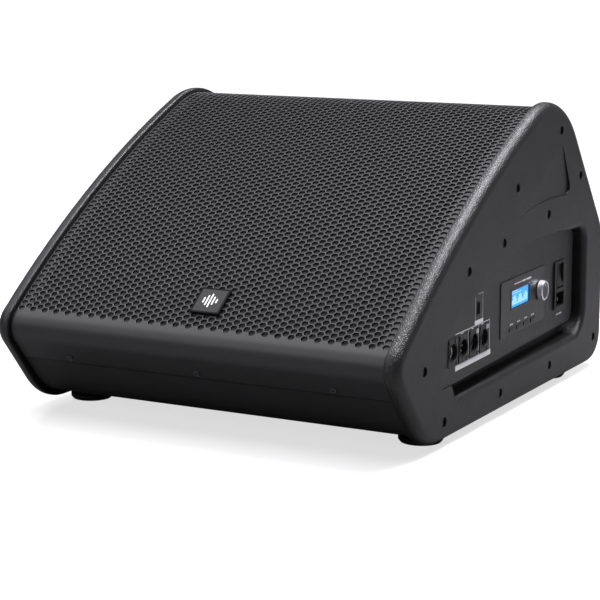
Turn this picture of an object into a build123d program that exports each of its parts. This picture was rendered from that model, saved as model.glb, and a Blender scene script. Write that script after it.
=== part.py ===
from build123d import *
import os

# Powered 12-inch coaxial stage monitor wedge. Millimetres, +Z up.
# Origin: on the floor, midway between the end cheeks and midway from nose to back.
# -Y is the nose that points at the performer, +X is the cheek that carries the controls.

# ---------------------------------------------------------------- driving dimensions
cabinet_width = 508.0       # over both moulded end cheeks
cabinet_depth = 612.0       # nose to back
ground_gap = 7.0            # floor to the underside of the cheeks
cheek_thickness = 17.0
rim_radius = 12.0           # big outer roundover of each cheek
board = 15.0                # plywood of the enclosure
baffle_board = 18.0         # plywood that carries the driver
grille_inset = 6.0          # how far the grille lies below the cheek rims
grille_sheet = 1.5
fit_gap = 0.1               # assembly gap between separate pieces

# ---------------------------------------------------------------- side profile
# Side-plane points are (distance back from the nose, height above the floor).


def side(y, z):
    """Turn a nose-based side-plane point into sketch coordinates of the YZ plane."""
    return (y - cabinet_depth / 2, z)


front_bow = 25.1            # the front stands this far proud of its own chord
nose_corner = Vector(*side(-11.3, 109.0))
apex_corner = Vector(*side(453.5, 371.8))
shoulder_corner = Vector(*side(cabinet_depth, 177.0))
heel_corner = Vector(*side(cabinet_depth, ground_gap))
toe_corner = Vector(*side(71.7, ground_gap))
corner_radii = (
    (nose_corner, 28.0),
    (apex_corner, 114.0),
    (shoulder_corner, 70.0),
    (heel_corner, 38.0),
    (toe_corner, 76.0),
)

front_chord = (apex_corner - nose_corner).normalized()
front_normal = Vector(-front_chord.Y, front_chord.X)
front_middle = (nose_corner + apex_corner) / 2 + front_normal * front_bow

with BuildSketch(Plane.YZ) as cheek_outline:
    with BuildLine():
        ThreePointArc(nose_corner, front_middle, apex_corner)
        Polyline(apex_corner, shoulder_corner, heel_corner, toe_corner, nose_corner)
    make_face()
    for corner, radius in corner_radii:
        fillet(cheek_outline.vertices().sort_by_distance(corner)[0], radius=radius)


def inset_outline(inset):
    """The side profile drawn smaller by the same distance all round."""
    with BuildSketch(Plane.YZ) as smaller:
        add(cheek_outline.sketch_local)
        offset(amount=-inset)
    return smaller.sketch_local


def unit(start, end):
    """Direction from one side-plane point to another."""
    return (end - start).normalized()


def outward(direction):
    """Outward normal of a profile edge that runs nose, top, back, floor, nose."""
    return Vector(-direction.Y, direction.X)


body_inset = grille_inset + grille_sheet + fit_gap
body_outline = inset_outline(body_inset)
room_outline = inset_outline(body_inset + board)
body_floor = ground_gap + body_inset
room_floor = body_floor + board

cheek_inner_x = cabinet_width / 2 - cheek_thickness
room_half_width = cheek_inner_x - board

toe_rise = unit(toe_corner, nose_corner)       # up the undercut front, towards the nose
back_fall = unit(apex_corner, shoulder_corner)  # down the sloping back
undercut_out = outward(toe_rise)
back_out = outward(back_fall)

# ---------------------------------------------------------------- control panel plane
panel_face_x = 252.0        # where the panel is flush with the cheek
panel_start = 150.0         # distance back from the nose where the panel starts to sink
panel_sink = 9.0 / 343.0    # it sinks this much for each millimetre towards the back
panel_skin = 3.0
panel_normal = Vector(1, panel_sink, 0).normalized()
panel_plane = Plane(
    origin=(panel_face_x, panel_start - cabinet_depth / 2, 0),
    x_dir=(-panel_sink, 1, 0),
    z_dir=panel_normal,
)


def on_panel(y, z):
    """Panel sketch coordinates of a point given back from the nose and above the floor."""
    return (y - panel_start, z)


recess_floor_x = 230.0      # bottom of the grab channel round the panel
tub_wall = 3.0
tub_inner_x = recess_floor_x - tub_wall

with BuildSketch(Plane.YZ) as panel_outline:
    with BuildLine():
        ThreePointArc(side(528, 185), side(410, 194.5), side(293, 186))
        Polyline(side(293, 186), side(190, 151))
        ThreePointArc(side(190, 151), side(129, 124), side(103, 66))
        Polyline(side(103, 66), side(528, 71), side(528, 185))
    make_face()
    for corner, radius in (
        (side(528, 71), 13.0), (side(528, 185), 12.0), (side(103, 66), 8.0), (side(293, 186), 90.0),
        (side(190, 151), 60.0),
    ):
        fillet(panel_outline.vertices().sort_by_distance(corner)[0], radius=radius)

with BuildSketch(Plane.YZ) as channel_sweep:
    with BuildLine():
        Polyline(
            side(134, 78), side(150, 50), side(543, 54), side(543, 187), side(470, 188), side(134, 78),
        )
    make_face()
    for corner, radius in ((side(150, 50), 8.0), (side(543, 54), 34.0), (side(543, 187), 20.0)):
        fillet(channel_sweep.vertices().sort_by_distance(corner)[0], radius=radius)

with BuildSketch(Plane.YZ) as recess_outline:
    add(panel_outline.sketch_local)
    add(channel_sweep.sketch_local)

def grown(sketch, amount):
    """A side-plane outline drawn larger (or smaller, if negative) all round."""
    with BuildSketch(Plane.YZ) as larger:
        add(sketch)
        offset(amount=amount)
    return larger.sketch_local


channel_roll = 7.0          # roundover between the channel and the cheek's face
board_opening = grown(recess_outline.sketch_local, tub_wall + 1.0)
tub_outline = grown(recess_outline.sketch_local, tub_wall)
compartment_outline = grown(recess_outline.sketch_local, 10.0)
compartment_inside = grown(recess_outline.sketch_local, 7.5)
panel_inside = grown(panel_outline.sketch_local, -tub_wall)

# ---------------------------------------------------------------- placements
screw_places = (
    (448.8, 315.0), (518.4, 253.6), (313.5, 260.4), (413.2, 218.1), (276.4, 202.0), (178.2, 184.0),
    (65.5, 94.9), (117.0, 29.7), (272.8, 29.0), (426.6, 32.0), (579.5, 39.7),
)
foot_places = [(x, y - cabinet_depth / 2) for x in (-217.0, 217.0) for y in (137.0, 506.0)]

lip_screw_height = 75.0
lip_screw_x = (-168.0, 0.0, 168.0)
seam_height = 67.4

flange_size = (26.0, 31.0)
socket_recess = 1.2         # each socket flange sits this deep in the panel
socket_pitch = 30.0
socket_height = 101.5
socket_places = [on_panel(140.0 + socket_pitch * i, socket_height) for i in range(4)]
usb_place = on_panel(213.0, 138.0)
bezel_place = on_panel(352.5, 122.2)
bezel_size = (145.0, 66.0)
display_place = on_panel(343.2, 130.0)
display_size = (57.5, 20.4)
button_places = [on_panel(315.0 + 23.5 * i, 95.5) for i in range(4)]
button_size = (15.0, 5.0)
knob_place = on_panel(408.0, 127.0)
mains_place = on_panel(478.2, 122.5)
mains_size = (36.5, 59.5)

os.makedirs("parts", exist_ok=True)


def save(builder, label):
    """Label one finished piece and write it to its own STEP file."""
    builder.part.label = label
    export_step(builder.part, f"parts/{label}.step")


# ================================================================ plywood enclosure
def slab(outline, half_width):
    """A piece that runs from side board to side board with one side-plane section."""
    with BuildPart() as piece:
        with BuildSketch(Plane.YZ):
            add(outline)
        extrude(amount=half_width, both=True)
    return piece.part


def window(y_low, y_high, z_low, z_high):
    """A rectangle of the side plane, as a sketch."""
    with BuildSketch(Plane.YZ) as pane:
        with BuildLine():
            Polyline(
                side(y_low, z_low), side(y_high, z_low), side(y_high, z_high), side(y_low, z_high), close=True
            )
        make_face()
    return pane.sketch_local


with BuildSketch(Plane.YZ) as wall_ring:
    add(body_outline)
    add(room_outline, mode=Mode.SUBTRACT)

with BuildSketch(Plane.YZ) as floor_section:
    add(body_outline)
    add(window(0, cabinet_depth, body_floor, room_floor), mode=Mode.INTERSECT)

with BuildPart() as floor_board:
    add(slab(floor_section.sketch_local, room_half_width))
    with Locations(*[Location((x, y, body_floor)) for x, y in foot_places]):
        Cylinder(2.1, 12, align=(Align.CENTER, Align.CENTER, Align.MIN), mode=Mode.SUBTRACT)
save(floor_board, "floor_board")

rear_split_height = 160.0
with BuildSketch(Plane.YZ) as rear_section:
    add(wall_ring.sketch_local)
    add(window(400, cabinet_depth, room_floor, rear_split_height), mode=Mode.INTERSECT)

with BuildPart() as rear_board:
    add(slab(rear_section.sketch_local, room_half_width))
save(rear_board, "rear_board")

top_rail_back = 480.0
with BuildSketch(Plane.YZ) as upper_rear_section:
    add(wall_ring.sketch_local)
    add(window(top_rail_back, cabinet_depth, rear_split_height, 340), mode=Mode.INTERSECT)

top_screw_run = 81.0        # along the sloping back, from the apex corner
top_screw_point = apex_corner + back_fall * top_screw_run - back_out * grille_inset


def on_undercut(height):
    """The point of the grille's outer surface at this height on the undercut front."""
    lowest = toe_corner - undercut_out * grille_inset
    return lowest + toe_rise * ((height - lowest.Y) / toe_rise.Y)


lip_screw_point = on_undercut(lip_screw_height)


def screw_plane(x, point, out):
    """A plane on the grille's outer surface, facing out of the cabinet."""
    return Plane(origin=(x, point.X, point.Y), x_dir=(1, 0, 0), z_dir=(0, out.X, out.Y))


lip_planes = [screw_plane(x, lip_screw_point, undercut_out) for x in lip_screw_x]
top_planes = [screw_plane(x, top_screw_point, back_out) for x in lip_screw_x]
grille_screw_shank = 1.9


def drill(planes, radius, depth):
    """Round holes straight into the piece being built, from each plane inwards."""
    for plane in planes:
        with BuildSketch(plane) as hole:
            Circle(radius)
        extrude(hole.sketch, amount=-depth, mode=Mode.SUBTRACT)


with BuildPart() as upper_rear_board:
    add(slab(upper_rear_section.sketch_local, room_half_width))
    drill(top_planes, grille_screw_shank + 0.05, 14)
save(upper_rear_board, "upper_rear_board")

with BuildSketch(Plane.YZ) as top_rail_section:
    add(wall_ring.sketch_local)
    add(window(402, top_rail_back - fit_gap, 290, 350), mode=Mode.INTERSECT)

with BuildPart() as top_rail:
    add(slab(top_rail_section.sketch_local, room_half_width))
save(top_rail, "top_rail")

with BuildSketch(Plane.YZ) as nose_section:
    add(wall_ring.sketch_local)
    add(window(-5, 100, room_floor, 118), mode=Mode.INTERSECT)

with BuildPart() as nose_board:
    add(slab(nose_section.sketch_local, room_half_width))
    drill(lip_planes, grille_screw_shank + 0.05, 14)
save(nose_board, "nose_board")

# ---------------------------------------------------------------- baffle and its axes
chord_start = Vector(*side(17.8, 132.8))
chord_end = Vector(*side(363.8, 337.8))
slope = unit(chord_start, chord_end)
slope_out = outward(slope)
baffle_setback = 30.0       # baffle face below the chord of the front
baffle_start = chord_start - slope_out * baffle_setback


def on_baffle(x, run):
    """A plane on the baffle face, run millimetres up the slope, facing out."""
    point = baffle_start + slope * run
    return Plane(origin=(x, point.X, point.Y), x_dir=(1, 0, 0), z_dir=(0, slope_out.X, slope_out.Y))


driver_run = 215.0
port_run = 372.0
port_x = 165.0
driver_plane = on_baffle(0, driver_run)
port_planes = [on_baffle(x, port_run) for x in (-port_x, port_x)]
driver_axis = Axis(driver_plane.origin, driver_plane.z_dir)
cutout_radius = 143.5
frame_screw_circle = 150.0
frame_screw_count = 8

with BuildSketch(Plane.YZ) as baffle_section:
    with BuildLine():
        low, high = baffle_start - slope * 60, baffle_start + slope * 460
        Polyline(low, high, high - slope_out * baffle_board, low - slope_out * baffle_board, close=True)
    make_face()
    add(grown(room_outline, -fit_gap), mode=Mode.INTERSECT)

with BuildPart() as baffle:
    add(slab(baffle_section.sketch_local, room_half_width - fit_gap))
    with BuildSketch(driver_plane):
        Circle(cutout_radius)
        with PolarLocations(frame_screw_circle, frame_screw_count, start_angle=22.5):
            Circle(2.55)
    extrude(amount=-40, mode=Mode.SUBTRACT)
    drill(port_planes, 32.2, 40)
save(baffle, "baffle")


# ---------------------------------------------------------------- side boards
def side_screw_planes(x, z_dir):
    """One plane for each cheek screw, at the given x."""
    points = [side(*place) for place in screw_places]
    return [Plane(origin=(x, y, z), x_dir=(0, 1, 0), z_dir=(z_dir, 0, 0)) for y, z in points]


with BuildPart() as side_board_right:
    with BuildSketch(Plane.YZ.offset(room_half_width)):
        add(body_outline)
        add(board_opening, mode=Mode.SUBTRACT)
    extrude(amount=board)
    drill(side_screw_planes(cheek_inner_x, 1), 2.05, 12)
save(side_board_right, "side_board_right")

handle_centre = side(335.0, 172.0)
handle_size = (138.0, 46.0)
handle_depth = 34.0
with BuildSketch(Plane.YZ) as handle_outline:
    with Locations(handle_centre):
        RectangleRounded(*handle_size, 18)

with BuildPart() as side_board_left:
    with BuildSketch(Plane.YZ.offset(-cheek_inner_x)):
        add(body_outline)
        add(grown(handle_outline.sketch_local, tub_wall + 1.0), mode=Mode.SUBTRACT)
    extrude(amount=board)
    drill(side_screw_planes(-cheek_inner_x, -1), 2.05, 12)
save(side_board_left, "side_board_left")

# ================================================================ moulded end cheeks
cheek_face_x = cabinet_width / 2
crease_start = Vector(*side(321.0, 226.0))
crease_top = Vector(*side(452.0, 300.0))
crease_corner = Vector(*side(489.0, 233.0))
crease_bow = Vector(*side(415.0, 236.0))
crease_depth = 3.2          # how deep the shallow upper panel sinks at its lower rear corner
along_crease = unit(crease_start, crease_top)
from_crease = -outward(along_crease)
crease_reach = (crease_corner - crease_start).dot(from_crease)
crease_slope = crease_depth / crease_reach
crease_plane = Plane(
    origin=(cheek_face_x, crease_start.X, crease_start.Y),
    x_dir=(0, along_crease.X, along_crease.Y),
    z_dir=Vector(1, from_crease.X * crease_slope, from_crease.Y * crease_slope),
)
outer_screws = side_screw_planes(cheek_face_x, 1)
screw_recess = 5.0


def in_crease(point):
    """Side-plane point in the sketch coordinates of the shallow upper panel."""
    away = point - crease_start
    return (away.dot(along_crease), -away.dot(from_crease))


def cheek_blank():
    """One end cheek with its roundover, its shallow upper panel and its screw seats, facing +X."""
    with BuildPart() as blank:
        with BuildSketch(Plane.YZ.offset(cheek_inner_x)):
            add(cheek_outline.sketch_local)
        extrude(amount=cheek_thickness)
        fillet(blank.faces().sort_by(Axis.X)[-1].edges(), radius=rim_radius)
        fillet(blank.faces().sort_by(Axis.X)[0].edges(), radius=2.5)
        with BuildSketch(crease_plane):
            with BuildLine():
                ThreePointArc(in_crease(crease_start), in_crease(crease_bow), in_crease(crease_corner))
                Polyline(in_crease(crease_corner), in_crease(crease_top), in_crease(crease_start))
            make_face()
            fillet(vertices().sort_by_distance(in_crease(crease_corner))[0], radius=10)
        extrude(amount=6, mode=Mode.SUBTRACT)
        drill(outer_screws, 2.6, 20)
        drill(outer_screws, 5.6, screw_recess)
    return blank.part


blank_cheek = cheek_blank()

with BuildPart() as panel_block:
    with BuildSketch(Plane.YZ.offset(tub_inner_x)):
        add(panel_outline.sketch_local)
    extrude(amount=cheek_face_x - tub_inner_x)
    split(bisect_by=panel_plane, keep=Keep.BOTTOM)

with BuildPart() as cheek_right:
    add(blank_cheek)
    with BuildSketch(Plane.YZ.offset(tub_inner_x)):
        add(tub_outline)
    extrude(amount=cheek_inner_x - tub_inner_x)
    with BuildSketch(Plane.YZ.offset(recess_floor_x)):
        add(channel_sweep.sketch_local)
    extrude(amount=40, mode=Mode.SUBTRACT)
    channel_edges = cheek_right.edges(Select.LAST)
    fillet(channel_edges.filter_by_position(Axis.X, cheek_face_x - 0.1, cheek_face_x + 0.1), radius=channel_roll)
    with BuildSketch(Plane.YZ.offset(tub_inner_x)):
        add(panel_outline.sketch_local)
    extrude(amount=60, mode=Mode.SUBTRACT)
    add(panel_block.part)
    with BuildSketch(panel_plane.offset(-panel_skin)):
        add(panel_inside.moved(Location((cabinet_depth / 2 - panel_start, 0, 0))))
    extrude(amount=-60, mode=Mode.SUBTRACT)
    with BuildSketch(panel_plane):
        with Locations(*socket_places):
            Circle(12.2)
        with Locations(usb_place):
            Rectangle(8.2, 15.2)
        with Locations(display_place):
            Rectangle(display_size[0] + 0.4, display_size[1] + 0.4)
        with Locations(*button_places):
            Rectangle(button_size[0] + 0.6, button_size[1] + 0.6)
        with Locations(knob_place):
            Circle(5.0)
        with Locations(mains_place):
            Rectangle(mains_size[0] - 3, mains_size[1] - 3)
    extrude(amount=-10, mode=Mode.SUBTRACT)
    with BuildSketch(panel_plane.offset(-socket_recess)):
        with Locations(bezel_place):
            RectangleRounded(bezel_size[0] + 0.4, bezel_size[1] + 0.4, 3.2)
        with Locations(*socket_places):
            RectangleRounded(flange_size[0] + 0.4, flange_size[1] + 0.4, 2.7)
    extrude(amount=10, mode=Mode.SUBTRACT)
save(cheek_right, "cheek_right")

with BuildPart() as cheek_left:
    add(mirror(blank_cheek, about=Plane.YZ, mode=Mode.PRIVATE))
    with BuildSketch(Plane.YZ.offset(-cheek_inner_x)):
        add(grown(handle_outline.sketch_local, tub_wall))
    extrude(amount=handle_depth + tub_wall - cheek_thickness)
    with BuildSketch(Plane.YZ.offset(-cheek_face_x)):
        add(handle_outline.sketch_local)
    extrude(amount=handle_depth, mode=Mode.SUBTRACT)
save(cheek_left, "cheek_left")

# ---------------------------------------------------------------- screws of the cheeks
def cheek_screws(head_x, facing):
    """Pan-head screws that hold a cheek to its side board; facing is +1 or -1 along X."""
    with BuildPart() as screws:
        for plane in side_screw_planes(head_x, facing):
            with BuildSketch(plane) as head:
                Circle(4.6)
            extrude(head.sketch, amount=2.4)
            with BuildSketch(plane) as shank:
                Circle(2.0)
            extrude(shank.sketch, amount=-22)
            with BuildSketch(plane.offset(2.4)) as drive:
                Rectangle(5.2, 1.1)
                Rectangle(1.1, 5.2)
            extrude(drive.sketch, amount=-1.4, mode=Mode.SUBTRACT)
    return screws


screw_seat_x = cheek_face_x - screw_recess
save(cheek_screws(screw_seat_x, 1), "cheek_screws_right")
save(cheek_screws(-screw_seat_x, -1), "cheek_screws_left")

# ================================================================ grille
grille_gap = 0.5
grille_half_width = cheek_inner_x - grille_gap
seam_point = on_undercut(seam_height)
grille_end_run = 92.0
grille_end = apex_corner + back_fall * grille_end_run - back_out * grille_inset

with BuildSketch(Plane.YZ) as grille_section:
    add(inset_outline(grille_inset))
    add(inset_outline(grille_inset + grille_sheet), mode=Mode.SUBTRACT)
    with BuildLine():
        Polyline(
            seam_point + undercut_out * 15, seam_point - undercut_out * 60,
            grille_end - back_out * 60, grille_end + back_out * 15,
            side(700, 300), side(700, -60), side(-60, -60), close=True,
        )
    make_face(mode=Mode.SUBTRACT)

with BuildPart() as grille:
    add(slab(grille_section.sketch_local, grille_half_width))
    drill(lip_planes, 2.2, 8)
    drill(top_planes, 2.2, 8)
save(grille, "grille")

foam_inset = body_inset + 0.5
foam_thickness = 5.0
with BuildSketch(Plane.YZ) as foam_section:
    add(inset_outline(foam_inset))
    add(inset_outline(foam_inset + foam_thickness), mode=Mode.SUBTRACT)
    add(window(10, 401, 119, 345), mode=Mode.INTERSECT)

with BuildPart() as grille_foam:
    add(slab(foam_section.sketch_local, room_half_width - 0.5))
save(grille_foam, "grille_foam")

with BuildPart() as grille_screws:
    for plane in lip_planes + top_planes:
        with BuildSketch(plane) as head:
            Circle(4.0)
        extrude(head.sketch, amount=1.8)
        with BuildSketch(plane) as shank:
            Circle(grille_screw_shank)
        extrude(shank.sketch, amount=-14)
        with BuildSketch(plane.offset(1.8)) as drive:
            RegularPolygon(1.5, 6)
        extrude(drive.sketch, amount=-1.2, mode=Mode.SUBTRACT)
save(grille_screws, "grille_screws")

front_half_chord = (apex_corner - nose_corner).length / 2
front_radius = (front_half_chord**2 + front_bow**2) / (2 * front_bow)
front_centre = front_middle - front_normal * front_radius
badge_size = 37.0
badge_back = 54.0           # centre of the badge, back from the nose
badge_y = side(badge_back, 0)[0]
grille_radius = front_radius - grille_inset
badge_z = front_centre.Y + (grille_radius**2 - (badge_y - front_centre.X) ** 2) ** 0.5
badge_out = (Vector(badge_y, badge_z) - front_centre).normalized()
badge_plane = Plane(
    origin=(0, badge_y, badge_z), x_dir=(1, 0, 0), z_dir=(0, badge_out.X, badge_out.Y)
).offset(0.2)

with BuildPart() as badge_plate:
    with BuildSketch(badge_plane):
        RectangleRounded(badge_size, badge_size, 1.5)
    extrude(amount=2.6)
    chamfer(badge_plate.faces().sort_by(Axis(badge_plane.origin, badge_plane.z_dir))[-1].edges(), 0.5)
save(badge_plate, "badge_plate")

# ================================================================ feet
foot_radius = 25.0
foot_neck_radius = 19.0
foot_flange = 6.5
foot_recess = 7.0
foot_screw_length = 19.0

with BuildPart() as one_foot:
    with BuildSketch(Plane.XZ):
        with BuildLine():
            Polyline(
                (8.5, 0), (22.5, 0), (foot_radius, 3), (foot_radius, foot_flange),
                (foot_neck_radius, foot_flange), (foot_neck_radius, body_floor), (2.6, body_floor),
                (2.6, foot_recess), (8.5, foot_recess), close=True,
            )
        make_face()
    revolve(axis=Axis.Z)
    fillet(one_foot.edges().filter_by_position(Axis.Z, 2.5, 3.5), radius=2.0)

with BuildPart() as one_foot_screw:
    with BuildSketch(Plane.XY.offset(3.4)):
        Circle(6.5)
    extrude(amount=foot_recess - 3.4)
    with BuildSketch(Plane.XY.offset(foot_recess)):
        Circle(2.05)
    extrude(amount=foot_screw_length)
    with BuildSketch(Plane.XY.offset(3.4)):
        Rectangle(7, 1.4)
        Rectangle(1.4, 7)
    extrude(amount=2, mode=Mode.SUBTRACT)

with BuildPart() as rubber_feet:
    with Locations(*foot_places):
        add(one_foot.part)
save(rubber_feet, "rubber_feet")

with BuildPart() as foot_screws:
    with Locations(*foot_places):
        add(one_foot_screw.part)
save(foot_screws, "foot_screws")

# ================================================================ coaxial driver
driver_section = Plane(
    origin=driver_plane.origin, x_dir=(1, 0, 0), z_dir=Vector(1, 0, 0).cross(driver_plane.z_dir)
)


def turned(*profile):
    """A piece turned about the driver's axis; the profile is (radius, height above the baffle)."""
    with BuildPart() as piece:
        with BuildSketch(driver_section) as section:
            with BuildLine():
                Polyline(*profile, close=True)
            make_face()
        revolve(section.sketch, axis=driver_axis)
    return piece.part


with BuildPart() as woofer_basket:
    add(turned(
        (156, 0), (156, 5), (138, 5), (138, 0), (129, 0), (129, -4), (136, -10), (80, -74),
        (80, -78), (76, -78), (76, -88), (41, -88), (41, -92), (86, -92), (86, -86), (143, -10), (143, 0),
    ))
    with BuildSketch(driver_plane) as basket_windows:
        with PolarLocations(112, 6, start_angle=30):
            RectangleRounded(46, 62, 8)
    extrude(basket_windows.sketch, amount=-86, mode=Mode.SUBTRACT)
    with BuildSketch(driver_plane) as rim_holes:
        with PolarLocations(frame_screw_circle, frame_screw_count, start_angle=22.5):
            Circle(2.8)
    extrude(rim_holes.sketch, amount=10, both=True, mode=Mode.SUBTRACT)
save(woofer_basket, "woofer_basket")

with BuildPart() as woofer_screws:
    with BuildSketch(driver_plane.offset(5)) as heads:
        with PolarLocations(frame_screw_circle, frame_screw_count, start_angle=22.5):
            Circle(4.4)
    extrude(heads.sketch, amount=4)
    with BuildSketch(driver_plane.offset(5)) as shanks:
        with PolarLocations(frame_screw_circle, frame_screw_count, start_angle=22.5):
            Circle(2.5)
    extrude(shanks.sketch, amount=-22)
    with BuildSketch(driver_plane.offset(9)) as sockets:
        with PolarLocations(frame_screw_circle, frame_screw_count, start_angle=22.5):
            RegularPolygon(2.3, 6)
    extrude(sockets.sketch, amount=-2.5, mode=Mode.SUBTRACT)
save(woofer_screws, "woofer_screws")

with BuildPart() as woofer_top_plate:
    add(turned((40.5, -92), (80, -92), (80, -100), (40.5, -100)))
save(woofer_top_plate, "woofer_top_plate")

with BuildPart() as woofer_magnet:
    add(turned((46, -100), (88, -100), (88, -122), (46, -122)))
save(woofer_magnet, "woofer_magnet")

with BuildPart() as woofer_yoke:
    add(turned((18, -90), (36.5, -90), (36.5, -122), (82, -122), (82, -132), (18, -132)))
save(woofer_yoke, "woofer_yoke")

cone_neck = (38.6, -62.0)
cone_edge = (117.0, -2.0)
cone_paper = 1.4
with BuildPart() as woofer_cone:
    with BuildSketch(driver_section) as cone_profile:
        with BuildLine():
            ThreePointArc(cone_neck, (75.5, -27.5), cone_edge)
            Line(cone_edge, (cone_edge[0], cone_edge[1] - cone_paper))
            ThreePointArc(
                (cone_edge[0], cone_edge[1] - cone_paper), (76.2, -28.7), (cone_neck[0], cone_neck[1] - cone_paper)
            )
            Line((cone_neck[0], cone_neck[1] - cone_paper), cone_neck)
        make_face()
    revolve(cone_profile.sketch, axis=driver_axis)
save(woofer_cone, "woofer_cone")

with BuildPart() as woofer_surround:
    with BuildSketch(driver_section) as roll:
        with BuildLine():
            ThreePointArc((117.2, 0.2), (124.7, 7.6), (132.2, 0.2))
            Polyline((132.2, 0.2), (137.6, 0.2), (137.6, 1.3), (133.2, 1.3))
            ThreePointArc((133.2, 1.3), (124.7, 8.8), (116.2, 1.3))
            Polyline((116.2, 1.3), (111.0, -2.6), (111.6, -3.5), (117.2, 0.2))
        make_face()
    revolve(roll.sketch, axis=driver_axis)
save(woofer_surround, "woofer_surround")

with BuildPart() as woofer_spider:
    add(turned((38.7, -76), (76, -76.6), (79.6, -76.6), (79.6, -77.6), (76, -77.6), (38.7, -77)))
save(woofer_spider, "woofer_spider")

with BuildPart() as voice_coil:
    add(turned((38.0, -63.6), (38.6, -63.6), (38.6, -88), (39.3, -88), (39.3, -104), (38.0, -104)))
save(voice_coil, "voice_coil")

with BuildPart() as hf_horn:
    with BuildSketch(driver_section) as flare:
        with BuildLine():
            Polyline((12.7, -60), (12.7, -132), (17.4, -132), (17.4, -76))
            Spline((17.4, -76), (33.5, -58), (68, -18), tangents=((0, 1), (1, 0.75)))
            Line((68, -18), (66.5, -16))
            Spline((66.5, -16), (31, -55), (12.7, -60), tangents=((-1, -0.75), (-0.2, -1)))
        make_face()
    revolve(flare.sketch, axis=driver_axis)
save(hf_horn, "hf_horn")

with BuildPart() as hf_driver:
    add(turned(
        (12.7, -132), (34, -132), (46, -138), (46, -166), (42, -166), (42, -172), (36, -176),
        (0, -176), (0, -150), (12.7, -150),
    ))
save(hf_driver, "hf_driver")


def reflex_port(plane):
    """One tuned port: a tube through the baffle with a flared mouth."""
    with BuildPart() as port:
        with BuildSketch(plane) as tube:
            Circle(32)
        extrude(tube.sketch, amount=-80)
        with BuildSketch(plane) as mouth:
            Circle(38)
        extrude(mouth.sketch, amount=4)
        with BuildSketch(plane.offset(4)) as bore:
            Circle(29)
        extrude(bore.sketch, amount=-84, mode=Mode.SUBTRACT)
        mouth_plane = Axis(plane.offset(4).origin, plane.z_dir)
        fillet(port.faces().sort_by(mouth_plane)[-1].inner_wires()[0].edges(), radius=2.5)
    return port


with BuildPart() as port_left:
    add(reflex_port(port_planes[0]).part)
save(port_left, "port_left")
with BuildPart() as port_right:
    add(reflex_port(port_planes[1]).part)
save(port_right, "port_right")


# ================================================================ control panel fittings
# Heights are above the panel surface, along panel_normal.
def pane(place, width, height, radius=0.0):
    """A rectangle on the panel, with rounded corners if a radius is given."""
    with BuildSketch() as outline:
        with Locations(place):
            if radius:
                RectangleRounded(width, height, radius)
            else:
                Rectangle(width, height)
    return outline.sketch_local


def disc(place, radius):
    """A circle on the panel."""
    with BuildSketch() as outline:
        with Locations(place):
            Circle(radius)
    return outline.sketch_local


def raised(outline, low, high):
    """A solid with this outline between two heights above the panel."""
    with BuildPart() as piece:
        with BuildSketch(panel_plane.offset(low)):
            add(outline)
        extrude(amount=high - low)
    return piece.part


def shifted(place, across, up):
    """A place on the panel moved towards the back and up."""
    return (place[0] + across, place[1] + up)


bezel_pieces = [raised(pane(bezel_place, *bezel_size, 3.0), -1.1, 0.9)]
bezel_gaps = [raised(pane(display_place, *display_size), -2, 2), raised(disc(knob_place, 4.2), -2, 2)]
for place in button_places:
    bezel_gaps.append(raised(pane(place, button_size[0] + 0.6, button_size[1] + 0.6), -2, 2))
with BuildPart() as display_bezel:
    add(bezel_pieces)
    fillet(display_bezel.faces().sort_by(Axis(panel_plane.origin, panel_plane.z_dir))[-1].edges(), 0.6)
    add(bezel_gaps, mode=Mode.SUBTRACT)
save(display_bezel, "display_bezel")

lcd_pieces = [
    raised(pane(display_place, display_size[0] - 0.3, display_size[1] - 0.3), -3.1, -0.4),
    raised(pane(display_place, 66, 27), -8, -3.1),
]
with BuildPart() as lcd_module:
    add(lcd_pieces)
save(lcd_module, "lcd_module")

for number, place in enumerate(button_places, start=1):
    button_pieces = [
        raised(pane(place, *button_size, 1.0), -3.1, 1.7),
        raised(pane(place, 18, 8), -4.2, -3.1),
        raised(pane(place, 3, 3), -8.6, -4.2),
    ]
    with BuildPart() as button:
        add(button_pieces)
        fillet(button.faces().sort_by(Axis(panel_plane.origin, panel_plane.z_dir))[-1].edges(), 0.5)
    save(button, f"button_{number}")

control_board_pieces = [raised(pane(bezel_place, 139, 60), -12, -10.4)]
for place in button_places:
    control_board_pieces.append(raised(pane(place, 6, 6), -10.4, -9.35))
with BuildPart() as control_board:
    add(control_board_pieces)
save(control_board, "control_board")

encoder_pieces = [raised(pane(knob_place, 12, 12), -10.4, -4), raised(disc(knob_place, 3.9), -4, 1)]
encoder_bores = [raised(disc(knob_place, 4.6), -9.8, -5.4), raised(disc(knob_place, 3.05), -5.5, 2)]
with BuildPart() as encoder_body:
    add(encoder_pieces)
    add(encoder_bores, mode=Mode.SUBTRACT)
save(encoder_body, "encoder_body")

plunger_disc = raised(disc(knob_place, 4.5), -9.2, -7.6)
plunger_bore = raised(disc(knob_place, 1.55), -10, -7)
with BuildPart() as encoder_plunger:
    add(plunger_disc)
    add(plunger_bore, mode=Mode.SUBTRACT)
save(encoder_plunger, "encoder_plunger")

shaft_pieces = [raised(disc(knob_place, 3.0), -7.5, 7.0), raised(disc(knob_place, 1.5), -9.2, -7.5)]
with BuildPart() as encoder_shaft:
    add(shaft_pieces)
save(encoder_shaft, "encoder_shaft")

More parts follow.
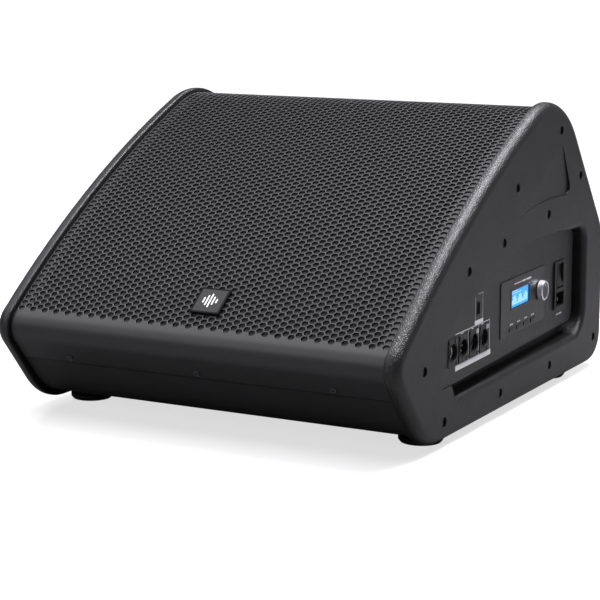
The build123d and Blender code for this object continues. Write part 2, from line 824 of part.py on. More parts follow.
knob_radius = 12.0
knob_top = 8.6
knob_body = raised(disc(knob_place, knob_radius), 1.6, knob_top)
knob_cuts = [
    raised(disc(knob_place, 6.5), 1.5, 3.4), raised(disc(knob_place, 3.0), 1.5, 7.0),
    raised(disc(knob_place, 9.2), knob_top - 0.8, knob_top + 1),
]
with BuildPart() as encoder_knob:
    add(knob_body)
    fillet(encoder_knob.faces().sort_by(Axis(panel_plane.origin, panel_plane.z_dir))[-1].edges(), 0.8)
    add(knob_cuts, mode=Mode.SUBTRACT)
save(encoder_knob, "encoder_knob")

insert_disc = raised(disc(knob_place, 9.1), knob_top - 0.8, knob_top - 0.2)
with BuildPart() as knob_insert:
    add(insert_disc)
save(knob_insert, "knob_insert")

usb_shell = raised(pane(usb_place, 7.4, 14.4), -15, 0.6)
usb_hollow = raised(pane(usb_place, 6.2, 13.2), -13, 1)
usb_tongue = raised(pane(shifted(usb_place, -1.3, 0), 1.9, 11), -13.5, -1.5)
with BuildPart() as usb_port:
    add(usb_shell)
    add(usb_hollow, mode=Mode.SUBTRACT)
    add(usb_tongue)
save(usb_port, "usb_port")

# ---------------------------------------------------------------- round signal sockets
flange_seat = -socket_recess
flange_height = 0.8
socket_body_radius = 11.8
socket_depth = 24.0
latch_size = (7.0, 4.6)
flange_screw = (9.5, -12.0)


def socket_blank(place):
    """Flange and round body that every signal socket shares, with its two fixing screws."""
    with BuildPart() as blank:
        add(raised(pane(place, *flange_size, 2.5), flange_seat + 0.05, flange_height))
        add(raised(disc(place, socket_body_radius), -socket_depth, flange_seat + 0.05))
        for sign in (-1, 1):
            screw = shifted(place, sign * flange_screw[0], sign * flange_screw[1])
            add(raised(disc(screw, 2.5), flange_height, flange_height + 0.6))
    return blank.part


def latch_place(place):
    """Where the release tab of a socket sits: the upper corner towards the back."""
    return shifted(place, 8.0, 11.8)


def latch_pocket(place):
    """The pocket in the flange that the release tab sinks into."""
    return raised(pane(latch_place(place), latch_size[0] + 0.4, latch_size[1] + 0.4), flange_seat + 0.25, 5)


def release_latch(place):
    """The sprung metal tab that lets a plug go."""
    with BuildPart() as tab:
        add(raised(pane(latch_place(place), *latch_size, 0.8), 0.2, 1.7))
    return tab


def on_circle(place, radius, angles):
    """Places on a circle round a socket; angles in degrees from the back, anticlockwise."""
    return [shifted(place, *tuple(Vector(radius, 0).rotate(Axis.Z, angle))[:2]) for angle in angles]


combo_place, link_place, data_in_place, data_out_place = socket_places
combo_parts = [socket_blank(combo_place)]
combo_cuts = [
    raised(disc(combo_place, 9.6), -3.0, 3), raised(disc(combo_place, 3.2), -20, 0),
    latch_pocket(combo_place),
]
for pin_place in on_circle(combo_place, 6.2, (90, 210, 330)):
    combo_cuts.append(raised(disc(pin_place, 1.4), -14, 0))
with BuildPart() as combo_socket:
    add(combo_parts)
    add(combo_cuts, mode=Mode.SUBTRACT)
save(combo_socket, "combo_socket")
save(release_latch(combo_place), "combo_latch")

link_parts = [socket_blank(link_place)]
link_cuts = [raised(disc(link_place, 9.4), -15, 3)]
link_pins = [raised(disc(pin, 1.2), -15.2, -2.5) for pin in on_circle(link_place, 3.6, (30, 150, 270))]
with BuildPart() as link_socket:
    add(link_parts)
    add(link_cuts, mode=Mode.SUBTRACT)
    add(link_pins)
save(link_socket, "link_socket")


def data_socket(place):
    """A round locking socket with a modular network jack inside."""
    with BuildPart() as socket:
        add(socket_blank(place))
        add(raised(disc(place, 9.8), -4, 3), mode=Mode.SUBTRACT)
        add(raised(pane(place, 12.0, 8.2), -18, 0), mode=Mode.SUBTRACT)
        add(raised(pane(shifted(place, 0, -5.0), 4.2, 2.2), -18, 0), mode=Mode.SUBTRACT)
        add(latch_pocket(place), mode=Mode.SUBTRACT)
    return socket


save(data_socket(data_in_place), "data_socket_in")
save(data_socket(data_out_place), "data_socket_out")
save(release_latch(data_in_place), "data_latch_in")
save(release_latch(data_out_place), "data_latch_out")

board_centre = shifted(link_place, socket_pitch / 2, 0)
connector_plate = raised(pane(board_centre, 106, 25), -socket_depth - 1.7, -socket_depth - 0.1)
with BuildPart() as connector_board:
    add(connector_plate)
save(connector_board, "connector_board")

# ---------------------------------------------------------------- mains module
inlet_place = shifted(mains_place, 0, -17.5)
rocker_place = shifted(mains_place, 0, 11.5)
rocker_pivot_height = -4.0
rocker_pin = 1.5
running_gap = 0.05
blade_places = [shifted(inlet_place, -7, -2), shifted(inlet_place, 7, -2), shifted(inlet_place, 0, 2)]


def rocker_plane(tilt):
    """Plane square to the rocker's pivot, X up the rocker, Y out of the cabinet; tilt in degrees."""
    origin = panel_plane.from_local_coords((*rocker_place, rocker_pivot_height))
    up = Vector(0, 0, 1).rotate(Axis((0, 0, 0), panel_plane.x_dir), tilt)
    return Plane(origin=origin, x_dir=up, z_dir=panel_plane.x_dir)


def pin_through(radius, half_length):
    """The rocker's pivot as a cylinder of this radius and half length."""
    with BuildPart() as pin:
        with BuildSketch(rocker_plane(0)):
            Circle(radius)
        extrude(amount=half_length, both=True)
    return pin.part


mains_parts = [
    raised(pane(mains_place, *mains_size, 2.0), 0.05, 2.2),
    raised(pane(mains_place, mains_size[0] - 3.4, mains_size[1] - 3.4), -22, 0.05),
]
mains_cuts = [
    raised(pane(inlet_place, 25, 17, 1.5), -16, 3),
    raised(pane(rocker_place, 21.2, 30.4), -16, 3),
    pin_through(rocker_pin + running_gap, 12.7),
]
blades = [raised(pane(place, 2, 5), -16.2, -3) for place in blade_places]
with BuildPart() as mains_inlet:
    add(mains_parts)
    add(mains_cuts, mode=Mode.SUBTRACT)
    add(blades)
save(mains_inlet, "mains_inlet")

rocker_half_width = 10.4
rocker_rest_tilt = -8.0     # upper end pressed in
rocker_section_plane = rocker_plane(rocker_rest_tilt)
with BuildPart() as power_rocker:
    with BuildSketch(rocker_section_plane):
        with BuildLine():
            ThreePointArc((-14, 5.2), (0, 3.4), (14, 5.2))
            Polyline((14, 5.2), (13.2, -3), (5, -7), (-5, -7), (-13.2, -3), (-14, 5.2))
        make_face()
    extrude(amount=rocker_half_width, both=True)
    with BuildSketch(rocker_section_plane):
        Circle(rocker_pin)
    extrude(amount=12.5, both=True)
save(power_rocker, "power_rocker")

# ================================================================ electronics compartment
chassis_back_x = 160.0
chassis_sheet = 2.0
with BuildPart() as amp_chassis:
    with BuildSketch(Plane.YZ.offset(chassis_back_x)):
        add(compartment_outline)
    extrude(amount=room_half_width - fit_gap - chassis_back_x)
    with BuildSketch(Plane.YZ.offset(chassis_back_x + chassis_sheet)):
        add(compartment_inside)
    extrude(amount=100, mode=Mode.SUBTRACT)
save(amp_chassis, "amp_chassis")


def inner_block(x_low, x_high, y_low, y_high, z_low, z_high):
    """A box given by its limits; y is measured back from the nose."""
    with BuildPart() as block:
        with Locations((x_low, y_low - cabinet_depth / 2, z_low)):
            Box(
                x_high - x_low, y_high - y_low, z_high - z_low,
                align=(Align.MIN, Align.MIN, Align.MIN),
            )
    return block.part


shelf_x = chassis_back_x + chassis_sheet + fit_gap
fin_pitch = 10.0
heatsink_blocks = [inner_block(shelf_x, 168, 345, 505, 66, 156)]
for number in range(16):
    fin_start = 347.0 + fin_pitch * number
    heatsink_blocks.append(inner_block(168, 194, fin_start, fin_start + 2.5, 66, 156))
with BuildPart() as heatsink:
    add(heatsink_blocks)
save(heatsink, "heatsink")

board_blocks = [inner_block(172, 173.6, 184, 324, 66, 132)]
for corner_y in (186, 316):
    for corner_z in (68, 124):
        board_blocks.append(inner_block(shelf_x, 172, corner_y, corner_y + 6, corner_z, corner_z + 6))
with BuildPart() as power_board:
    add(board_blocks)
save(power_board, "power_board")

transformer_blocks = [inner_block(173.7, 204, 262, 304, 76, 122), inner_block(178, 199, 256, 310, 84, 114)]
with BuildPart() as power_transformer:
    add(transformer_blocks)
save(power_transformer, "power_transformer")

with BuildPart() as filter_capacitors:
    with Locations(*[
        Location((173.7, y - cabinet_depth / 2, z), (0, 90, 0)) for y in (202, 228) for z in (84, 110)
    ]):
        Cylinder(10.5, 30, align=(Align.CENTER, Align.CENTER, Align.MIN))
save(filter_capacitors, "filter_capacitors")

cable_radius = 3.5
cable_start = Vector(chassis_back_x - fit_gap, *side(330, 120))
cable_end = Vector(46.1, *side(294.0, 88.0))
with BuildPart() as speaker_cable:
    with BuildLine() as cable_run:
        Spline(cable_start, (115, *side(325, 112)), cable_end, tangents=((-1, 0, 0), (-1, 0, 0)))
    with BuildSketch(Plane(origin=cable_start, z_dir=(-1, 0, 0))):
        Circle(cable_radius)
    sweep()
save(speaker_cable, "speaker_cable")
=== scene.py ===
import math

import bmesh
import bpy
import numpy as np
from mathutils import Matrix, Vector


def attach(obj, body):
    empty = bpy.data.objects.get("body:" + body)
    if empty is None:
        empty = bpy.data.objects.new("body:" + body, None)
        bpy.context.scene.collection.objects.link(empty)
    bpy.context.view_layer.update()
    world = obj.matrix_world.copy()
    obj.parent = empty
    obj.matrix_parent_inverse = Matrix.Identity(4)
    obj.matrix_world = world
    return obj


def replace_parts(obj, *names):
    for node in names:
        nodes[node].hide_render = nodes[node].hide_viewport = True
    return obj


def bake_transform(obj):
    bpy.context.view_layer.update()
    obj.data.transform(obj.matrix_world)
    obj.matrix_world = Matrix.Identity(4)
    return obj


# Looks of the powered stage monitor wedge. All shapes below are worked out in millimetres and
# scaled once, where a mesh is made. X runs to the control side, Y to the back, Z up.

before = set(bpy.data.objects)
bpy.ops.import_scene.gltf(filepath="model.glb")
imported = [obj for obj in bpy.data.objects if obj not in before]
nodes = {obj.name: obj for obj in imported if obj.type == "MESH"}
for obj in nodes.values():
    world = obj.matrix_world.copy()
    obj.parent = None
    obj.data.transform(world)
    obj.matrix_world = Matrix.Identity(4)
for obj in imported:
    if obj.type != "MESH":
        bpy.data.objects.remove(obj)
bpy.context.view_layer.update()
scene = bpy.context.scene
MM = 0.001
DEPTH = 612.0               # nose to back
HALF_DEPTH = DEPTH / 2


# ================================================================ materials
class Surface:
    """A node material round one Principled shader, with helpers for procedural detail."""

    def __init__(self, name, color, roughness, metallic=0.0, specular=0.5):
        self.material = bpy.data.materials.new(name)
        self.material.use_nodes = True
        self.tree = self.material.node_tree
        self.shader = self.tree.nodes["Principled BSDF"]
        self.shader.inputs["Base Color"].default_value = (*color, 1)
        self.shader.inputs["Roughness"].default_value = roughness
        self.shader.inputs["Metallic"].default_value = metallic
        self.shader.inputs["Specular IOR Level"].default_value = specular
        self.coordinates = self.tree.nodes.new("ShaderNodeTexCoord").outputs["Object"]
        self.height = None

    def node(self, kind, **settings):
        made = self.tree.nodes.new(kind)
        for key, value in settings.items():
            setattr(made, key, value)
        return made

    def link(self, start, end):
        self.tree.links.new(start, end)

    def noise(self, cycles_per_metre, detail=3.0, roughness=0.55):
        made = self.node("ShaderNodeTexNoise")
        made.inputs["Scale"].default_value = cycles_per_metre
        made.inputs["Detail"].default_value = detail
        made.inputs["Roughness"].default_value = roughness
        self.link(self.coordinates, made.inputs["Vector"])
        return made.outputs["Fac"]

    def cells(self, cells_per_metre, feature="F1", wobble=0.0):
        made = self.node("ShaderNodeTexVoronoi", feature=feature)
        made.inputs["Scale"].default_value = cells_per_metre
        source = self.coordinates
        if wobble:
            bend = self.node("ShaderNodeVectorMath", operation="ADD")
            scale = self.node("ShaderNodeVectorMath", operation="SCALE")
            drift = self.node("ShaderNodeTexNoise")
            drift.inputs["Scale"].default_value = cells_per_metre * 0.6
            scale.inputs["Scale"].default_value = wobble
            self.link(self.coordinates, drift.inputs["Vector"])
            self.link(drift.outputs["Color"], scale.inputs[0])
            self.link(self.coordinates, bend.inputs[0])
            self.link(scale.outputs["Vector"], bend.inputs[1])
            source = bend.outputs["Vector"]
        self.link(source, made.inputs["Vector"])
        return made.outputs["Distance"]

    def ramp(self, value, low, high, from_low=0.0, from_high=1.0):
        made = self.node("ShaderNodeMapRange")
        made.inputs["From Min"].default_value = from_low
        made.inputs["From Max"].default_value = from_high
        made.inputs["To Min"].default_value = low
        made.inputs["To Max"].default_value = high
        self.link(value, made.inputs["Value"])
        return made.outputs["Result"]

    def tint(self, value, dark, light):
        """Base colour that runs from dark to light with a 0..1 value."""
        made = self.node("ShaderNodeMix", data_type="RGBA")
        made.inputs["A"].default_value = (*dark, 1)
        made.inputs["B"].default_value = (*light, 1)
        self.link(value, made.inputs["Factor"])
        self.link(made.outputs["Result"], self.shader.inputs["Base Color"])

    def rough(self, value):
        self.link(value, self.shader.inputs["Roughness"])

    def bump(self, value, depth_mm, strength=1.0):
        """Adds relief; several calls stack."""
        made = self.node("ShaderNodeBump")
        made.inputs["Strength"].default_value = strength
        made.inputs["Distance"].default_value = depth_mm * MM
        self.link(value, made.inputs["Height"])
        if self.height:
            self.link(self.height, made.inputs["Normal"])
        self.height = made.outputs["Normal"]
        self.link(self.height, self.shader.inputs["Normal"])


def grey(level):
    return (level, level, level * 1.05)


GRAINS_PER_METRE = 430
GRAIN_WOBBLE = 0.0014       # metres by which the grain's outlines wander


def moulded_leather():
    """Pebbled black plastic of the end cheeks: soft mounds with creases between them."""
    made = Surface("moulded_leather", grey(0.010), 0.40, specular=0.45)
    pebbles = made.cells(GRAINS_PER_METRE, "SMOOTH_F1", wobble=GRAIN_WOBBLE)
    creases = made.cells(GRAINS_PER_METRE, "DISTANCE_TO_EDGE", wobble=GRAIN_WOBBLE)
    made.bump(made.ramp(creases, 0, 1, 0.0, 0.2), 0.26, 0.7)
    made.bump(pebbles, 0.18, 0.5)
    made.bump(made.noise(2200, 2), 0.04, 0.5)
    made.rough(made.ramp(made.noise(35, 4), 0.30, 0.40))
    made.tint(made.noise(14, 5), grey(0.005), grey(0.008))
    return made.material


def powder_coat():
    made = Surface("powder_coat", grey(0.014), 0.36, specular=0.5)
    made.bump(made.noise(1500, 3), 0.05, 0.5)
    made.rough(made.ramp(made.noise(60, 4), 0.42, 0.52))
    made.tint(made.noise(900, 2), grey(0.012), grey(0.018))
    return made.material


def textured_paint():
    made = Surface("textured_paint", grey(0.018), 0.55, specular=0.4)
    made.bump(made.cells(800, "SMOOTH_F1"), 0.10, 0.6)
    made.bump(made.noise(2400, 3), 0.04, 0.5)
    made.tint(made.noise(1200, 3), grey(0.013), grey(0.024))
    return made.material


def open_foam():
    made = Surface("open_foam", grey(0.010), 0.95, specular=0.1)
    made.bump(made.cells(900), 0.5, 0.8)
    # Its tone follows the same cells as its relief and is darker in their pits: painted shade in the pores.
    made.tint(made.cells(900), grey(0.02), grey(0.055))
    return made.material


def soft_rubber():
    made = Surface("soft_rubber", grey(0.016), 0.62, specular=0.35)
    made.bump(made.noise(900, 3), 0.06, 0.5)
    made.tint(made.noise(80, 4), grey(0.013), grey(0.022))
    return made.material


def black_screws():
    made = Surface("black_screws", grey(0.05), 0.42, metallic=0.2)
    made.bump(made.noise(1800, 2), 0.02, 0.4)
    made.rough(made.ramp(made.noise(400, 3), 0.30, 0.50))
    made.tint(made.noise(300, 3), grey(0.03), grey(0.07))
    return made.material


def metal(name, level, roughness, streaks=0.12):
    """A bare or darkened metal; streaks is the spread of its roughness."""
    made = Surface(name, grey(level), roughness, metallic=1.0)
    made.rough(made.ramp(made.noise(500, 4), roughness - streaks / 2, roughness + streaks))
    made.bump(made.noise(1400, 2), 0.01, 0.3)
    made.tint(made.noise(120, 4), grey(level * 0.88), grey(level))
    return made.material


def coloured(name, dark, light, roughness, cycles, relief_mm, metallic=0.0):
    """A mottled surface between two colours; cycles is the mottling's count per metre."""
    made = Surface(name, light, roughness, metallic=metallic)
    made.tint(made.noise(cycles, 4), dark, light)
    made.bump(made.noise(cycles * 1.5, 3), relief_mm, 0.5)
    made.rough(made.ramp(made.noise(cycles * 0.7, 3), roughness - 0.06, roughness + 0.08))
    return made.material


def satin_panel(name, level, roughness, specular=0.4):
    """A smooth dark plastic or lacquer."""
    made = Surface(name, grey(level), roughness, specular=specular)
    made.bump(made.noise(3000, 2), 0.015, 0.4)
    made.rough(made.ramp(made.noise(50, 4), roughness - 0.05, roughness + 0.05))
    made.tint(made.noise(25, 4), grey(level * 0.85), grey(level * 1.1))
    return made.material


def backlit(name, dark, light, strength):
    """A liquid-crystal window: a fine dot grid over an even backlight."""
    made = Surface(name, light, 0.25)
    dots = made.cells(1700)
    mixed = made.node("ShaderNodeMix", data_type="RGBA")
    mixed.inputs["A"].default_value = (*light, 1)
    mixed.inputs["B"].default_value = (*dark, 1)
    made.link(made.ramp(dots, 0, 1, 0.2, 0.9), mixed.inputs["Factor"])
    made.link(mixed.outputs["Result"], made.shader.inputs["Emission Color"])
    made.link(mixed.outputs["Result"], made.shader.inputs["Base Color"])
    made.shader.inputs["Emission Strength"].default_value = strength
    return made.material


LEATHER = moulded_leather()
COAT = powder_coat()
PAINT = textured_paint()
FOAM = open_foam()
RUBBER = soft_rubber()
SCREW = black_screws()
STEEL = metal("bright_steel", 0.62, 0.30)
DARK_STEEL = metal("darkened_steel", 0.10, 0.40)
NICKEL = metal("nickel_contacts", 0.72, 0.22)
GOLD = coloured("gold_contacts", (0.55, 0.36, 0.10), (0.80, 0.58, 0.22), 0.28, 300, 0.01, 1.0)
KNOB_SIDE = metal("turned_aluminium", 0.95, 0.50)
KNOB_RING = metal("polished_ring", 0.95, 0.26, 0.06)
FACE = satin_panel("knob_face", 0.010, 0.30)
BEZEL = satin_panel("bezel_plastic", 0.008, 0.34)
BADGE = satin_panel("badge_lacquer", 0.004, 0.50, 0.08)
SOCKET = satin_panel("socket_casting", 0.007, 0.40)
BUTTON = satin_panel("button_plastic", 0.012, 0.42)
INK = coloured("silk_screen_ink", (0.86, 0.86, 0.88), (0.93, 0.93, 0.95), 0.55, 400, 0.01)
FIELD = satin_panel("badge_field", 0.020, 0.45, 0.25)
MARK = coloured("badge_mark", (0.55, 0.55, 0.57), (0.74, 0.74, 0.76), 0.32, 300, 0.01, 0.5)
BLUE = backlit("display_backlight", (0.015, 0.27, 0.74), (0.03, 0.36, 0.90), 0.9)
PALE = backlit("display_segments", (0.25, 0.58, 0.92), (0.45, 0.76, 1.0), 0.8)
BOARD = coloured("circuit_board", (0.01, 0.08, 0.03), (0.02, 0.16, 0.06), 0.40, 120, 0.03)
SHEET = metal("chassis_sheet", 0.42, 0.42)
FINS = coloured("anodised_fins", grey(0.02), grey(0.045), 0.45, 200, 0.02, 0.6)
FERRITE = coloured("ferrite_ring", grey(0.035), grey(0.07), 0.7, 300, 0.06)
PAPER = coloured("pressed_paper", grey(0.012), grey(0.035), 0.85, 500, 0.15)
CLOTH = coloured("treated_cloth", grey(0.010), grey(0.028), 0.75, 700, 0.12)
RESIN = coloured("spider_cloth", (0.22, 0.12, 0.03), (0.42, 0.27, 0.09), 0.8, 700, 0.15)
COPPER = coloured("enamelled_copper", (0.45, 0.17, 0.06), (0.72, 0.34, 0.14), 0.3, 900, 0.05, 0.9)
TAPE = coloured("winding_tape", (0.40, 0.28, 0.03), (0.62, 0.46, 0.08), 0.45, 150, 0.03)
SLEEVE = coloured("capacitor_sleeve", (0.01, 0.015, 0.05), (0.02, 0.03, 0.10), 0.35, 100, 0.02)

FINISH = {
    LEATHER: ("cheek_right", "cheek_left"),
    PAINT: (
        "floor_board", "rear_board", "upper_rear_board", "top_rail", "nose_board", "baffle",
        "side_board_right", "side_board_left",
    ),
    FOAM: ("grille_foam",),
    COAT: ("grille", "woofer_basket"),
    RUBBER: ("rubber_feet", "speaker_cable"),
    SCREW: ("cheek_screws_right", "cheek_screws_left", "grille_screws", "foot_screws", "woofer_screws"),
    STEEL: (
        "woofer_top_plate", "woofer_yoke", "hf_driver", "encoder_body", "encoder_plunger",
        "encoder_shaft", "data_latch_in", "data_latch_out",
    ),
    DARK_STEEL: ("usb_port", "combo_latch"),
    FERRITE: ("woofer_magnet",),
    PAPER: ("woofer_cone",),
    CLOTH: ("woofer_surround",),
    RESIN: ("woofer_spider",),
    COPPER: ("voice_coil",),
    SOCKET: (
        "hf_horn", "port_left", "port_right", "combo_socket", "link_socket", "data_socket_in",
        "data_socket_out", "mains_inlet",
    ),
    BEZEL: ("display_bezel", "badge_plate", "lcd_module"),
    BUTTON: ("button_1", "button_2", "button_3", "button_4", "power_rocker"),
    BOARD: ("control_board", "connector_board", "power_board"),
    KNOB_SIDE: ("encoder_knob",),
    FACE: ("knob_insert",),
    SHEET: ("amp_chassis",),
    FINS: ("heatsink",),
    TAPE: ("power_transformer",),
    SLEEVE: ("filter_capacitors",),
}
for material, names in FINISH.items():
    for name in names:
        for material_slot in nodes[name].material_slots:
            material_slot.material = material


# ================================================================ mesh helpers
def make_piece(name, verts, faces, materials, body="cabinet", slot=None, sharp=32.0, indices=None):
    """A mesh piece from millimetre points; it rides on a body, if given. Its slot argument is not used."""
    mesh = bpy.data.meshes.new(name)
    mesh.from_pydata([(v[0] * MM, v[1] * MM, v[2] * MM) for v in verts], [], faces)
    if indices:
        mesh.polygons.foreach_set("material_index", indices)
    shape = bmesh.new()
    shape.from_mesh(mesh)
    bmesh.ops.remove_doubles(shape, verts=shape.verts, dist=1e-6)
    bmesh.ops.recalc_face_normals(shape, faces=shape.faces)
    shape.to_mesh(mesh)
    shape.free()
    for material in materials:
        mesh.materials.append(material)
    mesh.shade_smooth()
    mesh.set_sharp_from_angle(angle=math.radians(sharp))
    piece = bpy.data.objects.new(name, mesh)
    scene.collection.objects.link(piece)
    if body:
        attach(piece, body)
    return piece


class Shape:
    """Collects points and faces for one piece."""

    def __init__(self):
        self.verts = []
        self.faces = []
        self.indices = []

    def add(self, points, faces, index=0):
        start = len(self.verts)
        self.verts.extend(points)
        for face in faces:
            self.faces.append([start + i for i in face])
            self.indices.append(index)

    def loft(self, rings, closed=True, cap_first=False, cap_last=False, index=0):
        """Quads between rings of equal length."""
        count = len(rings[0])
        points = [p for ring in rings for p in ring]
        faces = []
        for r in range(len(rings) - 1):
            for i in range(count if closed else count - 1):
                j = (i + 1) % count
                faces.append((r * count + i, r * count + j, (r + 1) * count + j, (r + 1) * count + i))
        if cap_first:
            faces.append(list(range(count))[::-1])
        if cap_last:
            faces.append([(len(rings) - 1) * count + i for i in range(count)])
        self.add(points, faces, index)

    def piece(self, name, materials, **options):
        return make_piece(name, self.verts, self.faces, materials, indices=self.indices, **options)


def rounded(width, height, radius, steps=5):
    """Corner-rounded rectangle round the origin, anticlockwise."""
    points = []
    radius = max(radius, 1e-3)
    for quarter in range(4):
        sx = 1 if quarter in (0, 3) else -1
        sy = 1 if quarter in (0, 1) else -1
        for i in range(steps + 1):
            a = math.radians(90 * quarter + 90 * i / steps)
            points.append((
                sx * (width / 2 - radius) + radius * math.cos(a),
                sy * (height / 2 - radius) + radius * math.sin(a),
            ))
    return points


def circle(radius, count):
    return [
        (radius * math.cos(math.tau * i / count), radius * math.sin(math.tau * i / count))
        for i in range(count)
    ]


# ---------------------------------------------------------------- control panel plane
PANEL_X = 252.0             # where the panel is flush with the cheek
PANEL_START = 150.0         # distance back from the nose where it starts to sink
PANEL_SINK = 9.0 / 343.0    # it sinks this much for each millimetre towards the back
PANEL_NORMAL = Vector((1, PANEL_SINK, 0)).normalized()
PANEL_ALONG = Vector((-PANEL_SINK, 1, 0)).normalized()
PANEL_ORIGIN = Vector((PANEL_X, PANEL_START - HALF_DEPTH, 0))


def on_panel(y, z, h):
    """A point of the control panel: y back from the nose, z up, h out of the panel."""
    point = PANEL_ORIGIN + PANEL_ALONG * (y - PANEL_START) + PANEL_NORMAL * h
    return Vector((point.x, point.y, z))


def on_skin(y, z, h):
    """Like on_panel, but in front of the panel's start it follows the flat face of the cheek."""
    if y < PANEL_START:
        return Vector((PANEL_X + h, y - HALF_DEPTH, z))
    return on_panel(y, z, h)


def around(place, outline, h):
    """An outline drawn round a (y, z) place of the panel, at height h."""
    return [on_panel(place[0] + u, place[1] + v, h) for u, v in outline]


def shrunk(outline, amount):
    """Every point of an outline moved towards its middle by the same distance."""
    moved = []
    for u, v in outline:
        share = amount / math.hypot(u, v)
        moved.append((u - share * u, v - share * v))
    return moved


def raised_plate(shape, place, outline, low, high, edge=0.0):
    """A plate on the panel with an optional rounded-off edge."""
    rings = [around(place, outline, low), around(place, outline, high - edge)]
    if edge:
        rings.append(around(place, shrunk(outline, edge * 0.3), high - edge * 0.3))
        rings.append(around(place, shrunk(outline, edge), high))
    shape.loft(rings, cap_first=True, cap_last=True)


def opening_frame(shape, place, steps):
    """A frame round an opening; steps are the outlines and heights of its section, in order."""
    shape.loft([around(place, outline, h) for outline, h in (*steps, steps[0])])


def turned(shape, place, steps, count, capped=False):
    """A round form on the panel from (radius, height) steps."""
    rings = [around(place, circle(radius, count), h) for radius, h in steps]
    shape.loft(rings, cap_first=capped, cap_last=capped)


# ================================================================ grille
def unit(vector):
    return vector / vector.length


# The side profile's corners are (back from the nose, above the floor).
FRONT_BOW = 25.1            # the front stands this far proud of its own chord
NOSE = Vector((-11.3, 109.0))
APEX = Vector((453.5, 371.8))
SHOULDER = Vector((612.0, 177.0))
TOE = Vector((71.7, 7.0))
NOSE_RADIUS = 28.0
APEX_RADIUS = 113.0
GRILLE_INSET = 6.0          # how far the sheet lies below the cheek rims
SHEET_THICKNESS = 1.5
SEAM_HEIGHT = 67.4          # height of the sheet's lower lip
BACK_RUN = 92.0             # how far it runs down the back from the apex corner
PATH_STEP = 0.5


def left_of(direction):
    return Vector((-direction.y, direction.x))


chord = unit(APEX - NOSE)
half_chord = (APEX - NOSE).length / 2
front_radius = (half_chord**2 + FRONT_BOW**2) / (2 * FRONT_BOW)
front_centre = (NOSE + APEX) / 2 + left_of(chord) * (FRONT_BOW - front_radius)
rise = unit(NOSE - TOE)
fall = unit(SHOULDER - APEX)


def fillet_centre(point, direction, radius, near):
    """Centre of a rounded corner between a straight edge and the bowed front."""
    start = point - left_of(direction) * radius - front_centre
    reach = front_radius - radius
    b = start.dot(direction)
    root = math.sqrt(b * b - start.length_squared + reach * reach)
    options = [front_centre + start + direction * t for t in (-b - root, -b + root)]
    return min(options, key=lambda c: (c - near).length)


nose_centre = fillet_centre(TOE, rise, NOSE_RADIUS, NOSE)
apex_centre = fillet_centre(APEX, fall, APEX_RADIUS, APEX)


def bearing(vector):
    return math.atan2(vector.y, vector.x)


def arc_points(centre, radius, start, end, step):
    """Points and outward normals along the shorter way round from one bearing to another."""
    end = start + (end - start + math.pi) % math.tau - math.pi
    count = max(2, int(abs(end - start) * radius / step))
    angles = [start + (end - start) * i / count for i in range(count + 1)]
    normals = [Vector((math.cos(a), math.sin(a))) for a in angles]
    return [(centre + normal * radius, normal) for normal in normals]


def grille_path(step):
    """Points and outward normals of the grille's outer face, from the lower lip to the back edge."""
    rise_out = left_of(rise)
    fall_out = left_of(fall)
    foot = TOE - rise_out * GRILLE_INSET
    start = foot + rise * ((SEAM_HEIGHT - foot.y) / rise.y)
    nose_start = nose_centre + rise_out * (NOSE_RADIUS - GRILLE_INSET)
    count = int((nose_start - start).length / step)
    samples = [(start.lerp(nose_start, i / count), rise_out) for i in range(count)]
    nose_end = bearing(nose_centre - front_centre)
    samples += arc_points(nose_centre, NOSE_RADIUS - GRILLE_INSET, bearing(rise_out), nose_end, step)
    apex_start = bearing(apex_centre - front_centre)
    samples += arc_points(front_centre, front_radius - GRILLE_INSET, nose_end, apex_start, step)[1:]
    samples += arc_points(apex_centre, APEX_RADIUS - GRILLE_INSET, apex_start, bearing(fall_out), step)[1:]
    last = samples[-1][0]
    end = APEX + fall * BACK_RUN - fall_out * GRILLE_INSET
    count = int((end - last).length / step)
    samples += [(last.lerp(end, (i + 1) / count), fall_out) for i in range(count)]
    return samples


path = grille_path(PATH_STEP)
path_points = np.array([(p.x, p.y) for p, _ in path])
path_normals = np.array([(n.x, n.y) for _, n in path])
path_run = np.concatenate([[0], np.cumsum(np.linalg.norm(np.diff(path_points, axis=0), axis=1))])


def on_grille(x, run, depth=0.0):
    """A point of the grille: x across, run along the sheet from its lower lip, depth into it."""
    y = np.interp(run, path_run, path_points[:, 0])
    z = np.interp(run, path_run, path_points[:, 1])
    ny = np.interp(run, path_run, path_normals[:, 0])
    nz = np.interp(run, path_run, path_normals[:, 1])
    return (x, y - HALF_DEPTH - ny * depth, z - nz * depth)


def run_at(y):
    """How far along the sheet the point with this distance back from the nose lies."""
    front = path_run > path_run[np.argmin(path_points[:, 0])]
    return float(np.interp(y, path_points[front, 0], path_run[front]))


PITCH_X = 15.9              # between two columns of holes; the rows between them are offset by half
PITCH_RUN = 8.2             # between two rows, along the sheet
BAR = 0.8                   # half the width of the bar between two holes
HOLE_EDGE = 0.22            # rounding of each hole's rim
COLUMNS = 30
SHEET_HALF = 236.5          # half the width of the sheet
FIRST_ROW_Y = 20.0
LAST_ROW_Y = 430.0
PLAIN_MARGIN = 1.2          # straight edge between the last holes and the plain sheet
LOW_STEP = 2.0              # length of the plain sheet's faces, below and above the holes
HIGH_STEP = 3.0


def hexagon(shrink):
    """Corners of one lattice cell drawn smaller by shrink all round."""
    half = PITCH_RUN / 2
    neighbour = Vector((PITCH_X / 2, half))
    normal = unit(neighbour)
    reach = neighbour.length / 2 - shrink
    flat = half - shrink
    tip = reach / normal.x
    corner = (reach - normal.y * flat) / normal.x
    return [(tip, 0), (corner, flat), (-corner, flat), (-tip, 0), (-corner, -flat), (corner, -flat)]


